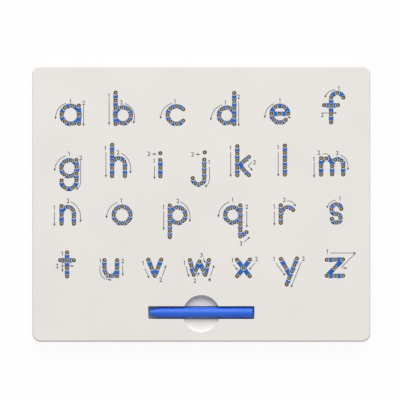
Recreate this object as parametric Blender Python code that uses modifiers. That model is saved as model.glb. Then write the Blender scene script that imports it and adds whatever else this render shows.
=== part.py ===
# Magnetic letter board: a flat case with a steel ball under every hole of its
# printed letters, and a magnet stylus lying in a tray below them.
# Metres. +X runs along the long side, +Y up the page and +Z out of the face.
# The origin is the middle of the board, on the surface that its feet stand on.

import math

import bmesh
import bpy
from mathutils import Matrix, Vector

# Case
BOARD_LENGTH = 0.300
BOARD_WIDTH = 0.245
CORNER_RADIUS = 0.0075
TOP_EDGE_ROUNDING = 0.0015
CASE_WALL = 0.002
BACK_THICKNESS = 0.0016
SEAT_GAP = 0.0003
CUT_OVERRUN = 0.001
CORNER_STEPS = 5
SMALL_CORNER_STEPS = 2
TOP_EDGE_STEPS = 2
ROUND_PROFILE_SHARE = 0.5
MERGE_DISTANCE = 0.00001

# Stylus, from its nose to its end cap
STYLUS_LENGTH = 0.092
STYLUS_DIAMETER = 0.0096
STYLUS_PROUD = 0.0003
NOSE_LENGTH = 0.010
NOSE_TIP_RADIUS = 0.0029
NOSE_BASE_RADIUS = 0.0045
NOSE_EDGE_ROUNDING = 0.0006
BARREL_BORE_RADIUS = 0.0029
SPIGOT_LENGTH = 0.006
END_CAP_LENGTH = 0.007
END_CAP_ROUNDING = 0.0014
MAGNET_RADIUS = 0.0019
MAGNET_LENGTH = 0.005
MAGNET_INSET = 0.0003
STYLUS_FIT_GAP = 0.0001
STYLUS_SIDES = 20
ROUNDING_STEPS = 3

# Stylus tray and the dished finger scoop across its middle
STYLUS_END_PLAY = 0.001
STYLUS_SIDE_PLAY = 0.0009
STYLUS_UPPER_GAP = 0.0007
STYLUS_TRAY_LENGTH = STYLUS_LENGTH + 2 * STYLUS_END_PLAY
STYLUS_TRAY_WIDTH = STYLUS_DIAMETER + 2 * STYLUS_SIDE_PLAY
STYLUS_TRAY_WALL = 0.0013
STYLUS_TRAY_CORNER_RADIUS = 0.0008
STYLUS_TUB_CORNER_STEPS = 1
STYLUS_TRAY_FROM_LOWER_EDGE = 0.0258
SCOOP_RADIUS = 0.0163
SCOOP_DEPTH = 0.006
SCOOP_FILLET_RADIUS = 0.0012
SCOOP_BELOW_TRAY = 0.0008
SCOOP_SIDES = 28
SCOOP_STEPS = 3

# Balls, the holes that hold them in, and what lies under the face
BEAD_RADIUS = 0.0021
BEAD_SINK = 0.001
BEAD_SIDES = 6
BEAD_RINGS = 3
HOLE_LIP = 0.00025
HOLE_PLAY = 0.00015
TROUGH_PLAY = 0.00015
WEB_WIDTH = 0.0008
WEB_THICKNESS = 0.0003
WEB_DROP = 0.0007
BEAD_TRAY_FLOOR = 0.0008
BEAD_TRAY_CORNER_RADIUS = 0.003
BEAD_TRAY_MARGIN = 0.0015
BEAD_TRAY_SCOOP_GAP = 0.00075

# Screws, their bosses, the ribs of the back and the feet
SCREW_INSET = 0.009
SCREW_COLUMN_SHARE = 0.5
SCREW_HEAD_RADIUS = 0.0023
SCREW_SHANK_RADIUS = 0.0011
SCREW_TIP_RADIUS = 0.0005
SCREW_TIP_LENGTH = 0.001
SCREW_LENGTH = 0.0085
SCREW_HEAD_SINK = 0.00015
SCREW_FIT_GAP = 0.0001
SCREW_CLEARANCE = 0.0002
PILOT_SPARE_DEPTH = 0.0006
BOSS_RADIUS = 0.0032
SCREW_SIDES = 8
BOSS_SIDES = 8
RIB_THICKNESS = 0.0014
LENGTHWISE_RIB_SHARES = (-0.55, 0.05, 0.55)
CROSSWISE_RIB_SHARES = (-0.7, -0.23, 0.23, 0.7)
RIB_LENGTH_SHARE = 0.94
FOOT_RADIUS = 0.006
FOOT_PROUD = 0.0008
FOOT_SEAT_DEPTH = 0.0006
FOOT_ROUNDING = 0.0003
FOOT_INSET = 0.024
FOOT_SIDES = 16

# Letters: the row lines as shares of half the board's width, then for each letter its
# middle as a share of half the board's length, its row, and its strokes in shares of
# the small letters' height. A line has its two ends and how many balls it carries, an
# arc its centre, radius, first and last angle in degrees and its balls.
X_HEIGHT = 0.0156
SAME_BEAD_SHARE = 0.1
STRAIGHT_ANGLE = math.radians(6)
ROW_SHARES = {"top": 0.578, "second": 0.202, "third": -0.141, "bottom": -0.525}
LETTER_SHARES = (
    ("a", -0.774, "top", [
        ("arc", (0.02, 0.51), 0.51, 82, 278, 5),
        ("line", (0.49, 1.03), (0.49, 0.0), 3)]),
    ("b", -0.461, "top", [
        ("line", (-0.435, 1.76), (-0.435, -0.02), 5),
        ("arc", (-0.015, 0.48), 0.45, 100, -100, 5)]),
    ("c", -0.147, "top", [
        ("arc", (0.0, 0.493), 0.50, 40, 320, 7)]),
    ("d", 0.150, "top", [
        ("line", (0.43, 1.74), (0.43, -0.03), 5),
        ("arc", (0.0, 0.475), 0.44, 80, 280, 5)]),
    ("e", 0.464, "top", [
        ("line", (-0.475, 0.568), (0.475, 0.568), 3),
        ("arc", (0.0, 0.548), 0.475, 0, 180, 4),
        ("arc", (0.0, 0.548), 0.475, 180, 315, 4)]),
    ("f", 0.780, "top", [
        ("line", (-0.125, 1.488), (-0.125, 0.068), 4),
        ("arc", (0.225, 1.388), 0.36, 165, 15, 3),
        ("line", (-0.52, 1.048), (0.26, 1.048), 3)]),
    ("g", -0.782, "second", [
        ("arc", (0.02, 0.427), 0.455, 80, 280, 5),
        ("line", (0.43, 0.892), (0.43, -0.268), 4),
        ("arc", (0.0, -0.323), 0.42, 7, -187, 4)]),
    ("h", -0.489, "second", [
        ("line", (-0.365, 1.745), (-0.365, -0.03), 5),
        ("arc", (0.0, 0.63), 0.365, 90, 26, 2),
        ("line", (0.365, 0.41), (0.365, -0.03), 2)]),
    ("i", -0.242, "second", [
        ("line", (0.0, 1.274), (0.0, 1.274), 1),
        ("line", (0.0, 0.889), (0.0, -0.046), 3)]),
    ("j", -0.006, "second", [
        ("line", (0.25, 1.32), (0.25, 1.32), 1),
        ("line", (0.225, 0.905), (0.225, -0.145), 4),
        ("arc", (-0.10, -0.17), 0.325, 5, -185, 4)]),
    ("k", 0.247, "second", [
        ("line", (-0.33, 1.67), (-0.33, 0.02), 5),
        ("line", (0.33, 1.055), (0.05, 0.825), 2),
        ("line", (0.05, 0.31), (0.33, 0.025), 2)]),
    ("l", 0.494, "second", [
        ("line", (0.0, 1.704), (0.0, 0.054), 5)]),
    ("m", 0.773, "second", [
        ("line", (-0.63, 0.995), (-0.63, 0.06), 3),
        ("line", (-0.33, 0.97), (-0.33, 0.97), 1),
        ("line", (0.0, 0.52), (0.0, 0.07), 2),
        ("arc", (0.32, 0.63), 0.31, 118, 48, 2),
        ("line", (0.63, 0.53), (0.63, 0.07), 2)]),
    ("n", -0.789, "third", [
        ("line", (-0.35, 0.966), (-0.35, -0.044), 3),
        ("arc", (0.0, 0.566), 0.345, 90, 31, 2),
        ("line", (0.35, 0.366), (0.35, -0.044), 2)]),
    ("o", -0.468, "third", [
        ("arc", (0.0, 0.46), 0.477, 0, 315, 8)]),
    ("p", -0.139, "third", [
        ("line", (-0.45, 1.0), (-0.45, -0.81), 6),
        ("arc", (0.0, 0.455), 0.44, 102, -102, 5)]),
    ("q", 0.186, "third", [
        ("line", (0.43, 1.002), (0.43, -0.763), 6),
        ("arc", (0.0, 0.462), 0.43, 78, 282, 5),
        ("line", (0.43, -0.763), (0.785, -0.518), 2)]),
    ("r", 0.506, "third", [
        ("line", (-0.35, 1.01), (-0.35, 0.01), 4),
        ("arc", (0.05, 0.53), 0.37, 100, 34, 2)]),
    ("s", 0.797, "third", [
        ("arc", (0.01, 0.787), 0.28, 5, 270, 4),
        ("arc", (0.0, 0.277), 0.25, 90, -170, 4)]),
    ("t", -0.793, "bottom", [
        ("line", (0.0, 1.35), (0.0, -0.02), 4),
        ("line", (-0.39, 0.90), (0.38, 0.90), 3)]),
    ("u", -0.535, "bottom", [
        ("line", (-0.36, 0.902), (-0.36, 0.502), 2),
        ("arc", (0.0, 0.352), 0.34, 212, 270, 2),
        ("line", (0.36, 0.902), (0.36, -0.008), 3)]),
    ("v", -0.275, "bottom", [
        ("line", (-0.365, 0.93), (0.0, 0.01), 3),
        ("line", (0.0, 0.01), (0.365, 0.93), 3)]),
    ("w", -0.011, "bottom", [
        ("line", (-0.54, 0.91), (-0.46, 0.60), 2),
        ("line", (-0.325, 0.075), (-0.205, 0.355), 2),
        ("line", (0.0, 0.83), (0.0, 0.83), 1),
        ("line", (0.205, 0.355), (0.325, 0.075), 2),
        ("line", (0.46, 0.60), (0.54, 0.91), 2)]),
    ("x", 0.249, "bottom", [
        ("line", (-0.37, 0.937), (0.36, -0.003), 3),
        ("line", (0.37, 0.937), (-0.36, -0.003), 3)]),
    ("y", 0.518, "bottom", [
        ("line", (-0.46, 0.971), (-0.2, 0.516), 2),
        ("line", (0.455, 1.001), (-0.13, -0.479), 5)]),
    ("z", 0.790, "bottom", [
        ("line", (-0.47, 0.93), (0.455, 0.95), 3),
        ("line", (0.455, 0.95), (-0.47, 0.02), 3),
        ("line", (-0.47, 0.02), (0.47, 0.02), 3)]),
)
LETTERS = {name: rest for name, *rest in LETTER_SHARES}

# Heights, counted up from the surface that the feet stand on
BACK_INNER_Z = FOOT_PROUD + BACK_THICKNESS
STYLUS_TRAY_FLOOR_Z = BACK_INNER_Z + SEAT_GAP + STYLUS_TRAY_WALL
STYLUS_AXIS_Z = STYLUS_TRAY_FLOOR_Z + SEAT_GAP + STYLUS_DIAMETER / 2
FACE_Z = STYLUS_AXIS_Z + STYLUS_DIAMETER / 2 - STYLUS_PROUD
FACE_UNDERSIDE_Z = FACE_Z - CASE_WALL
MID_FACE_Z = FACE_Z - CASE_WALL / 2
BEAD_REST_Z = FACE_Z - BEAD_SINK - BEAD_RADIUS
TROUGH_FLOOR_Z = BEAD_REST_Z - BEAD_RADIUS - SEAT_GAP
BEAD_TRAY_TOP_Z = FACE_UNDERSIDE_Z - SEAT_GAP
BEAD_TRAY_BOTTOM_Z = TROUGH_FLOOR_Z - BEAD_TRAY_FLOOR
RIB_TOP_Z = BEAD_TRAY_BOTTOM_Z - SEAT_GAP
WEB_TOP_Z = BEAD_REST_Z - WEB_DROP

# Places on the page
HALF_LENGTH = BOARD_LENGTH / 2
HALF_WIDTH = BOARD_WIDTH / 2
STYLUS_TRAY_Y = STYLUS_TRAY_FROM_LOWER_EDGE - HALF_WIDTH
SCREW_X = HALF_LENGTH - SCREW_INSET
SCREW_Y = HALF_WIDTH - SCREW_INSET
STYLUS_Y = STYLUS_TRAY_Y + STYLUS_SIDE_PLAY - STYLUS_UPPER_GAP
SCOOP_Y = STYLUS_TRAY_Y - SCOOP_BELOW_TRAY
SCOOP_FLOOR_Z = FACE_Z - SCOOP_DEPTH
BEAD_TRAY_RIGHT_X = SCREW_X - BOSS_RADIUS - BEAD_TRAY_MARGIN
BEAD_TRAY_UPPER_Y = SCREW_Y - BOSS_RADIUS - BEAD_TRAY_MARGIN
BEAD_TRAY_LOWER_Y = SCOOP_Y + SCOOP_RADIUS + STYLUS_TRAY_WALL + BEAD_TRAY_SCOOP_GAP
BEAD_TRAY_MIDDLE_Y = (BEAD_TRAY_UPPER_Y + BEAD_TRAY_LOWER_Y) / 2
BEAD_TRAY_HALF_WIDTH = (BEAD_TRAY_UPPER_Y - BEAD_TRAY_LOWER_Y) / 2

PART_NAME = "magnetic_letter_board"


def clear_scene():
    for old in list(bpy.data.objects):
        bpy.data.objects.remove(old, do_unlink=True)


def make_collection(name):
    collection = bpy.data.collections.new(name)
    bpy.context.scene.collection.children.link(collection)
    return collection


def make_material(name, color, roughness, metallic=0.0):
    material = bpy.data.materials.new(name)
    material.use_nodes = True
    shader = material.node_tree.nodes["Principled BSDF"]
    shader.inputs["Base Color"].default_value = (*color, 1.0)
    shader.inputs["Roughness"].default_value = roughness
    shader.inputs["Metallic"].default_value = metallic
    return material


clear_scene()
parts = make_collection(PART_NAME)
cutters = make_collection("cutters")
white_plastic = make_material("white_plastic", (0.78, 0.76, 0.72), 0.38)
white_back_plastic = make_material("white_back_plastic", (0.76, 0.74, 0.70), 0.48)
grey_tray_plastic = make_material("grey_tray_plastic", (0.55, 0.55, 0.56), 0.6)
ball_steel = make_material("ball_steel", (0.46, 0.42, 0.36), 0.25, 1.0)
screw_steel = make_material("screw_steel", (0.62, 0.62, 0.64), 0.3, 1.0)
blue_plastic = make_material("blue_plastic", (0.045, 0.15, 0.66), 0.3)
magnet_nickel = make_material("magnet_nickel", (0.7, 0.69, 0.66), 0.22, 1.0)
foot_rubber = make_material("foot_rubber", (0.05, 0.05, 0.055), 0.85)


def add_part(name, mesh, material):
    part = bpy.data.objects.new(name, mesh)
    mesh.materials.append(material)
    parts.objects.link(part)
    return part


def add_cutter(name, mesh):
    cutter = bpy.data.objects.new(name, mesh)
    cutter.hide_render = True
    cutter.display_type = "WIRE"
    cutters.objects.link(cutter)
    return cutter


def finish_mesh(bm, name):
    mesh = bpy.data.meshes.new(name)
    bm.to_mesh(mesh)
    bm.free()
    return mesh


def combine(part, cutter, operation, crossing=False):
    # crossing is set where the cutter's own shapes run into each other
    modifier = part.modifiers.new(cutter.name, "BOOLEAN")
    modifier.operation = operation
    modifier.solver = "EXACT"
    modifier.use_self = crossing
    modifier.object = cutter


def put_box(bm, low, high):
    middle = (Vector(low) + Vector(high)) / 2
    size = Vector(high) - Vector(low)
    place = Matrix.Translation(middle) @ Matrix.Diagonal((*size, 1))
    bmesh.ops.create_cube(bm, size=1, matrix=place)


def put_cone(bm, x, y, low_z, high_z, low_radius, high_radius, sides):
    place = Matrix.Translation((x, y, (low_z + high_z) / 2))
    bmesh.ops.create_cone(
        bm, cap_ends=True, segments=sides, radius1=low_radius, radius2=high_radius,
        depth=high_z - low_z, matrix=place)


def put_cylinder(bm, x, y, low_z, high_z, radius, sides):
    put_cone(bm, x, y, low_z, high_z, radius, radius, sides)


def round_upright_edges(bm, radius, steps):
    upright = [edge for edge in bm.edges if edge.verts[0].co.z != edge.verts[1].co.z]
    bmesh.ops.bevel(
        bm, geom=upright, offset=radius, segments=steps, profile=ROUND_PROFILE_SHARE,
        affect="EDGES")


def rounded_block(low, high, radius, steps):
    bm = bmesh.new()
    put_box(bm, low, high)
    round_upright_edges(bm, radius, steps)
    return bm


def turned(name, profile, sides, material, closed=False):
    # The profile is a list of (radius, height) that runs down its outer side
    bm = bmesh.new()
    points = [bm.verts.new((radius, 0, height)) for radius, height in profile]
    for first, second in zip(points, points[1:]):
        bm.edges.new((first, second))
    if closed:
        bm.edges.new((points[-1], points[0]))
    mesh = finish_mesh(bm, name)
    if material is None:
        piece = add_cutter(name, mesh)
    else:
        piece = add_part(name, mesh, material)
    screw = piece.modifiers.new("turn", "SCREW")
    screw.axis = "Z"
    screw.steps = sides
    screw.render_steps = sides
    screw.use_merge_vertices = True
    screw.merge_threshold = MERGE_DISTANCE
    screw.use_smooth_shade = True
    return piece


def arc_profile(center_radius, center_height, radius, start, end, steps):
    # Points of a profile round a centre, with angles from level, outwards, in degrees
    points = []
    for step in range(steps + 1):
        angle = math.radians(start + (end - start) * step / steps)
        points.append((center_radius + radius * math.cos(angle),
                       center_height + radius * math.sin(angle)))
    return points


def stroke_beads(stroke):
    count = stroke[-1]
    shares = [index / max(count - 1, 1) for index in range(count)]
    if stroke[0] == "line":
        start, end = Vector(stroke[1]), Vector(stroke[2])
        return [start.lerp(end, share) for share in shares]
    center, radius, first, last = Vector(stroke[1]), *stroke[2:5]
    beads = []
    for share in shares:
        angle = math.radians(first + (last - first) * share)
        beads.append(center + radius * Vector((math.cos(angle), math.sin(angle))))
    return beads


def letter_paths(letter):
    # A letter's balls, each once, and the paths through them in shares of its height:
    # its strokes, and the shortest links between strokes that no ball joins
    beads, paths = [], []
    for stroke in LETTERS[letter][2]:
        path = []
        for point in stroke_beads(stroke):
            near = [bead for bead in beads if (bead - point).length < SAME_BEAD_SHARE]
            if not near:
                beads.append(point)
            path.append(near[0] if near else point)
        paths.append(path)
    joined, waiting, links = list(paths[0]), paths[1:], []
    while waiting:
        near, far, path = min(
            ((a, b, path) for path in waiting for a in joined for b in path),
            key=lambda link: (link[1] - link[0]).length)
        if near is not far:
            links.append([near, far])
        joined += path
        waiting = [other for other in waiting if other is not path]
    return beads, [path for path in paths if len(path) > 1] + links


def on_page(letter, points):
    column_share, row = LETTERS[letter][:2]
    origin = Vector((column_share * HALF_LENGTH, ROW_SHARES[row] * HALF_WIDTH))
    return [origin + point * X_HEIGHT for point in points]


def letter_beads(letter):
    return on_page(letter, letter_paths(letter)[0])


def put_letter_walls(bm, letter, low_z, high_z, end_reach):
    # Upright strips along a letter's paths, run on by end_reach past their ends. A
    # straight path needs only its ends. Solidify gives them their width.
    for path in letter_paths(letter)[1]:
        points = on_page(letter, path)
        bends = [
            (b - a).angle(c - b) for a, b, c in zip(points, points[1:], points[2:])]
        if not bends or max(bends) < STRAIGHT_ANGLE:
            points = [points[0], points[-1]]
        first = (points[0] - points[1]).normalized() * end_reach
        last = (points[-1] - points[-2]).normalized() * end_reach
        points = [points[0] + first] + points[1:-1] + [points[-1] + last]
        verts = [bm.verts.new((point.x, point.y, low_z)) for point in points]
        edges = [bm.edges.new(pair) for pair in zip(verts, verts[1:])]
        raised = bmesh.ops.extrude_edge_only(bm, edges=edges)["geom"]
        for item in raised:
            if isinstance(item, bmesh.types.BMVert):
                item.co.z = high_z


def thicken(cutter, width):
    wall = cutter.modifiers.new("width", "SOLIDIFY")
    wall.thickness = width
    wall.offset = 0
    wall.use_even_offset = True
    return cutter


def screw_places():
    columns = (-SCREW_X, -SCREW_X * SCREW_COLUMN_SHARE, SCREW_X * SCREW_COLUMN_SHARE, SCREW_X)
    places = [(x, y) for y in (SCREW_Y, -SCREW_Y) for x in columns]
    return places + [(-SCREW_X, 0), (SCREW_X, 0)]


def foot_places():
    x, y = HALF_LENGTH - FOOT_INSET, HALF_WIDTH - FOOT_INSET
    return [(-x, y), (x, y), (-x, -y), (x, -y)]


def make_front_shell():
    # An open box with rounded corners gets its wall, then its rounded top edge
    bm = rounded_block((-HALF_LENGTH, -HALF_WIDTH, FOOT_PROUD),
                       (HALF_LENGTH, HALF_WIDTH, FACE_Z), CORNER_RADIUS, CORNER_STEPS)
    bottom = [face for face in bm.faces if face.calc_center_median().z < BACK_INNER_Z]
    bmesh.ops.delete(bm, geom=bottom, context="FACES_ONLY")
    top_edge = [vert.index for vert in bm.verts if vert.co.z > MID_FACE_Z]
    shell = add_part("front_shell", finish_mesh(bm, "front_shell"), white_plastic)
    group = shell.vertex_groups.new(name="top_edge")
    group.add(top_edge, 1.0, "REPLACE")
    wall = shell.modifiers.new("wall", "SOLIDIFY")
    wall.thickness = CASE_WALL
    wall.offset = -1
    wall.use_even_offset = True
    rounding = shell.modifiers.new("top_edge", "BEVEL")
    rounding.limit_method = "VGROUP"
    rounding.vertex_group = "top_edge"
    rounding.width = TOP_EDGE_ROUNDING
    rounding.segments = TOP_EDGE_STEPS

    x, y = STYLUS_TRAY_LENGTH / 2, STYLUS_TRAY_WIDTH / 2
    wall_x, wall_y = x + STYLUS_TRAY_WALL, y + STYLUS_TRAY_WALL
    tub = rounded_block(
        (-wall_x, STYLUS_TRAY_Y - wall_y, STYLUS_TRAY_FLOOR_Z - STYLUS_TRAY_WALL),
        (wall_x, STYLUS_TRAY_Y + wall_y, MID_FACE_Z),
        STYLUS_TRAY_CORNER_RADIUS, STYLUS_TUB_CORNER_STEPS)
    combine(shell, add_cutter("tray_tub", finish_mesh(tub, "tray_tub")), "UNION")
    bowl = scoop_shape("scoop_bowl", STYLUS_TRAY_WALL, MID_FACE_Z)
    combine(shell, bowl, "UNION")

    bosses, pilots, holes = bmesh.new(), bmesh.new(), bmesh.new()
    for px, py in screw_places():
        put_cylinder(bosses, px, py, BACK_INNER_Z + SEAT_GAP, MID_FACE_Z, BOSS_RADIUS,
                     BOSS_SIDES)
        put_cylinder(pilots, px, py, BACK_INNER_Z - CUT_OVERRUN,
                     FOOT_PROUD + SCREW_HEAD_SINK + SCREW_LENGTH + PILOT_SPARE_DEPTH,
                     SCREW_SHANK_RADIUS + SCREW_FIT_GAP, SCREW_SIDES)
    combine(shell, add_cutter("screw_bosses", finish_mesh(bosses, "screw_bosses")), "UNION")
    combine(shell, add_cutter("pilot_holes", finish_mesh(pilots, "pilot_holes")), "DIFFERENCE")

    tray = rounded_block(
        (-x, STYLUS_TRAY_Y - y, STYLUS_TRAY_FLOOR_Z),
        (x, STYLUS_TRAY_Y + y, FACE_Z + CUT_OVERRUN),
        STYLUS_TRAY_CORNER_RADIUS, SMALL_CORNER_STEPS)
    combine(shell, add_cutter("tray", finish_mesh(tray, "tray")), "DIFFERENCE")
    combine(shell, scoop_shape("scoop", 0, FACE_Z + CUT_OVERRUN), "DIFFERENCE")

    # The holes widen downwards, so that each holds its ball in
    top_radius = BEAD_RADIUS - HOLE_LIP
    bottom_radius = BEAD_RADIUS + HOLE_PLAY
    spread = (bottom_radius - top_radius) * CUT_OVERRUN / CASE_WALL
    for letter in LETTERS:
        for bead in letter_beads(letter):
            put_cone(holes, bead.x, bead.y, FACE_UNDERSIDE_Z - CUT_OVERRUN,
                     FACE_Z + CUT_OVERRUN, bottom_radius + spread, top_radius - spread,
                     BEAD_SIDES)
    combine(shell, add_cutter("bead_holes", finish_mesh(holes, "bead_holes")), "DIFFERENCE")


def scoop_shape(name, wall, top_z):
    # A dish with a flat floor and a rounded foot to its side, grown by its wall
    radius, floor, fillet = SCOOP_RADIUS + wall, SCOOP_FLOOR_Z - wall, SCOOP_FILLET_RADIUS + wall
    profile = [(0, top_z), (radius, top_z)]
    profile += arc_profile(radius - fillet, floor + fillet, fillet, 0, -90, SCOOP_STEPS)
    dish = turned(name, profile + [(0, floor)], SCOOP_SIDES, None)
    dish.location = (0, SCOOP_Y, 0)
    return dish


def make_back_shell():
    reach = CASE_WALL + SEAT_GAP
    plate = rounded_block(
        (-HALF_LENGTH + reach, -HALF_WIDTH + reach, FOOT_PROUD),
        (HALF_LENGTH - reach, HALF_WIDTH - reach, BACK_INNER_Z),
        CORNER_RADIUS - reach, CORNER_STEPS)
    shell = add_part("back_shell", finish_mesh(plate, "back_shell"), white_back_plastic)

    # Ribs hold the bead tray up, and keep clear of the tray and the bosses
    mid_back_z = FOOT_PROUD + BACK_THICKNESS / 2
    half_rib = RIB_THICKNESS / 2
    long_ribs, cross_ribs = bmesh.new(), bmesh.new()
    x, y = BEAD_TRAY_RIGHT_X * RIB_LENGTH_SHARE, BEAD_TRAY_HALF_WIDTH * RIB_LENGTH_SHARE
    for share in LENGTHWISE_RIB_SHARES:
        middle = BEAD_TRAY_MIDDLE_Y + share * BEAD_TRAY_HALF_WIDTH
        put_box(long_ribs, (-x, middle - half_rib, mid_back_z), (x, middle + half_rib, RIB_TOP_Z))
    for share in CROSSWISE_RIB_SHARES:
        middle = share * BEAD_TRAY_RIGHT_X
        put_box(cross_ribs, (middle - half_rib, BEAD_TRAY_MIDDLE_Y - y, mid_back_z),
                (middle + half_rib, BEAD_TRAY_MIDDLE_Y + y, RIB_TOP_Z))
    for name, ribs in (("lengthwise_ribs", long_ribs), ("crosswise_ribs", cross_ribs)):
        combine(shell, add_cutter(name, finish_mesh(ribs, name)), "UNION")

    heads, shanks, seats = bmesh.new(), bmesh.new(), bmesh.new()
    low_z = FOOT_PROUD - CUT_OVERRUN
    head_z = FOOT_PROUD + SCREW_HEAD_SINK
    cone_z = head_z + SCREW_HEAD_RADIUS - SCREW_SHANK_RADIUS
    for px, py in screw_places():
        put_cone(heads, px, py, low_z, cone_z,
                 SCREW_SHANK_RADIUS + SCREW_CLEARANCE + cone_z - low_z,
                 SCREW_SHANK_RADIUS + SCREW_CLEARANCE, SCREW_SIDES)
        put_cylinder(shanks, px, py, low_z, BACK_INNER_Z + CUT_OVERRUN,
                     SCREW_SHANK_RADIUS + SCREW_CLEARANCE, SCREW_SIDES)
    for px, py in foot_places():
        put_cylinder(seats, px, py, low_z, FOOT_PROUD + FOOT_SEAT_DEPTH,
                     FOOT_RADIUS + SEAT_GAP, FOOT_SIDES)
    for name, cuts in (("screw_shanks", shanks), ("screw_heads", heads), ("foot_seats", seats)):
        combine(shell, add_cutter(name, finish_mesh(cuts, name)), "DIFFERENCE")


def make_bead_tray():
    # A tray under the face, with a trough along every letter that its balls lie in
    block = rounded_block(
        (-BEAD_TRAY_RIGHT_X, BEAD_TRAY_LOWER_Y, BEAD_TRAY_BOTTOM_Z),
        (BEAD_TRAY_RIGHT_X, BEAD_TRAY_UPPER_Y, BEAD_TRAY_TOP_Z), BEAD_TRAY_CORNER_RADIUS,
        SMALL_CORNER_STEPS)
    tray = add_part("bead_tray", finish_mesh(block, "bead_tray"), grey_tray_plastic)
    half_trough = BEAD_RADIUS + TROUGH_PLAY
    troughs = bmesh.new()
    for letter in LETTERS:
        put_letter_walls(troughs, letter, TROUGH_FLOOR_Z, BEAD_TRAY_TOP_Z + CUT_OVERRUN,
                         half_trough)
    cutter = add_cutter("letter_troughs", finish_mesh(troughs, "letter_troughs"))
    combine(tray, thicken(cutter, 2 * half_trough), "DIFFERENCE", crossing=True)


def make_beads(letter):
    # A letter's balls, joined below their middles by thin webs that lie in its trough
    balls, webs = bmesh.new(), bmesh.new()
    for bead in letter_beads(letter):
        bmesh.ops.create_uvsphere(
            balls, u_segments=BEAD_SIDES, v_segments=BEAD_RINGS, radius=BEAD_RADIUS,
            matrix=Matrix.Translation((bead.x, bead.y, BEAD_REST_Z)))
    put_letter_walls(webs, letter, WEB_TOP_Z - WEB_THICKNESS, WEB_TOP_Z, 0)
    name = "beads_" + letter
    group = add_part(name, finish_mesh(balls, name), ball_steel)
    group.data.shade_smooth()
    cutter = add_cutter("webs_" + letter, finish_mesh(webs, "webs_" + letter))
    combine(group, thicken(cutter, WEB_WIDTH), "UNION", crossing=True)


def make_screws():
    # Countersunk screws, turned once and set at each boss, heads down
    head_z = FOOT_PROUD + SCREW_HEAD_SINK
    profile = [
        (0, SCREW_LENGTH),
        (SCREW_TIP_RADIUS, SCREW_LENGTH),
        (SCREW_SHANK_RADIUS, SCREW_LENGTH - SCREW_TIP_LENGTH),
        (SCREW_SHANK_RADIUS, SCREW_HEAD_RADIUS - SCREW_SHANK_RADIUS),
        (SCREW_HEAD_RADIUS, 0),
        (0, 0),
    ]
    for number, (x, y) in enumerate(screw_places(), 1):
        screw = turned(f"case_screw_{number:02d}", profile, SCREW_SIDES, screw_steel)
        screw.location = (x, y, head_z)


def make_feet():
    top = FOOT_PROUD + FOOT_SEAT_DEPTH - SEAT_GAP
    profile = [(0, top), (FOOT_RADIUS, top), (FOOT_RADIUS, FOOT_ROUNDING),
               (FOOT_RADIUS - FOOT_ROUNDING, 0), (0, 0)]
    for number, (x, y) in enumerate(foot_places(), 1):
        foot = turned(f"rubber_foot_{number}", profile, FOOT_SIDES, foot_rubber)
        foot.location = (x, y, 0)


def make_stylus():
    # Turned about their own upright axis, nose down, then laid along X with the nose left
    carrier = bpy.data.objects.new("stylus", None)
    parts.objects.link(carrier)
    carrier.location = (0, STYLUS_Y, STYLUS_AXIS_Z)
    barrel_low = NOSE_LENGTH + STYLUS_FIT_GAP
    barrel_high = STYLUS_LENGTH - END_CAP_LENGTH - STYLUS_FIT_GAP
    full = STYLUS_DIAMETER / 2
    spigot = BARREL_BORE_RADIUS - STYLUS_FIT_GAP
    magnet_bore = MAGNET_RADIUS + STYLUS_FIT_GAP
    bore_end = MAGNET_INSET + MAGNET_LENGTH + STYLUS_FIT_GAP

    nose = [(0, NOSE_LENGTH + SPIGOT_LENGTH), (spigot, NOSE_LENGTH + SPIGOT_LENGTH),
            (spigot, NOSE_LENGTH), (NOSE_BASE_RADIUS, NOSE_LENGTH)]
    nose += arc_profile(NOSE_TIP_RADIUS - NOSE_EDGE_ROUNDING, NOSE_EDGE_ROUNDING,
                        NOSE_EDGE_ROUNDING, 0, -90, ROUNDING_STEPS)
    nose += [(magnet_bore, 0), (magnet_bore, bore_end), (0, bore_end)]
    barrel = [(BARREL_BORE_RADIUS, barrel_high), (full, barrel_high),
              (NOSE_BASE_RADIUS, barrel_low), (BARREL_BORE_RADIUS, barrel_low)]
    magnet = [(0, MAGNET_INSET + MAGNET_LENGTH), (MAGNET_RADIUS, MAGNET_INSET + MAGNET_LENGTH),
              (MAGNET_RADIUS, MAGNET_INSET), (0, MAGNET_INSET)]
    cap_base = barrel_high + STYLUS_FIT_GAP
    cap = [(0, STYLUS_LENGTH)]
    cap += arc_profile(full - END_CAP_ROUNDING, STYLUS_LENGTH - END_CAP_ROUNDING,
                       END_CAP_ROUNDING, 90, 0, ROUNDING_STEPS)
    cap += [(full, cap_base), (spigot, cap_base), (spigot, cap_base - SPIGOT_LENGTH),
            (0, cap_base - SPIGOT_LENGTH)]

    lie = Matrix.Rotation(math.pi / 2, 4, "Y")
    for name, profile, material, closed in (
            ("stylus_nose", nose, blue_plastic, False),
            ("stylus_barrel", barrel, blue_plastic, True),
            ("stylus_magnet", magnet, magnet_nickel, False),
            ("stylus_end_cap", cap, blue_plastic, False)):
        piece = turned(name, profile, STYLUS_SIDES, material, closed)
        piece.parent = carrier
        piece.matrix_local = Matrix.Translation((-STYLUS_LENGTH / 2, 0, 0)) @ lie


make_front_shell()
make_back_shell()
make_bead_tray()
for letter in LETTERS:
    make_beads(letter)
make_screws()
make_feet()
make_stylus()
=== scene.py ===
# Magnetic letter board: the looks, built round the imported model.
# Metres, in the part's own frame: +X along the board, +Y up the page, +Z out of the face.
import math

import bmesh
import bpy
from mathutils import Matrix, Vector


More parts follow.
